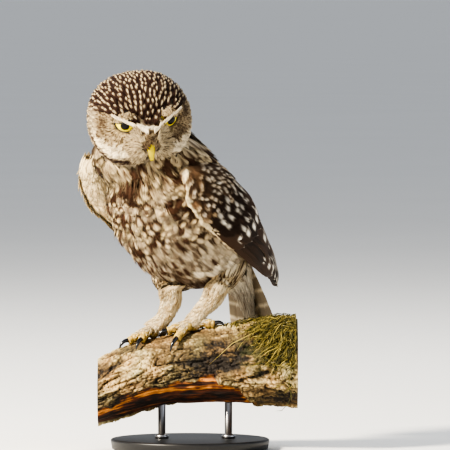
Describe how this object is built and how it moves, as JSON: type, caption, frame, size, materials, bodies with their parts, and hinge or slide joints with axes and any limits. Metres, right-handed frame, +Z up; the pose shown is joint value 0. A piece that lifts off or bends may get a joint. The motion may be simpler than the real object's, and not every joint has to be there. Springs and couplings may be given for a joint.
{
  "type": "little owl",
  "caption": "Life-size still model of a little owl standing with its head low and turned, gripping a short bark-covered branch on a round display stand.",
  "frame": {"origin": "middle of the display base's underside, on the surface that the base stands on", "axes": "+Z up; the owl's body faces -Y, so its own left side is +X; the branch runs 42 degrees from +X towards +Y"},
  "size_m": [0.171, 0.1935, 0.2956],
  "materials": {
    "plumage_head": "dense small feathers, dark brown with buff white spots",
    "plumage_body": "soft feathers, brown streaks on buff white",
    "plumage_wing": "smooth flight feathers, dark brown with white oval spots",
    "plumage_tail": "smooth tail feathers, brown with pale bars",
    "plumage_leg": "short whitish buff feathers",
    "toe_skin": "dull yellow scaly skin with pale bristles",
    "claw": "blue-black horn",
    "eye": "glossy wet eyeball, yellow iris, black pupil",
    "bill": "yellow horn",
    "bark": "furrowed grey-brown bark with moss and some bare orange wood",
    "stand_base": "dark satin paint",
    "stand_rod": "brushed steel"
  },
  "bodies": {
    "root": {"head": "plumage_head", "eye_left": "eye", "eye_right": "eye", "bill_upper": "bill", "bill_lower": "bill", "neck": "plumage_body", "torso": "plumage_body", "wing_left": "plumage_wing", "wing_right": "plumage_wing", "tail": "plumage_tail", "thigh_left": "plumage_leg", "thigh_right": "plumage_leg", "shank_left": "plumage_leg", "shank_right": "plumage_leg", "foot_left": "toe_skin", "foot_right": "toe_skin", "perch_branch": "bark", "stand_base": "stand_base", "stand_rod_1": "stand_rod", "stand_rod_2": "stand_rod", "claw_left_inner": "claw", "claw_left_middle": "claw", "claw_left_outer": "claw", "claw_left_hind": "claw", "claw_right_inner": "claw", "claw_right_middle": "claw", "claw_right_outer": "claw", "claw_right_hind": "claw"}
  },
  "joints": []
}
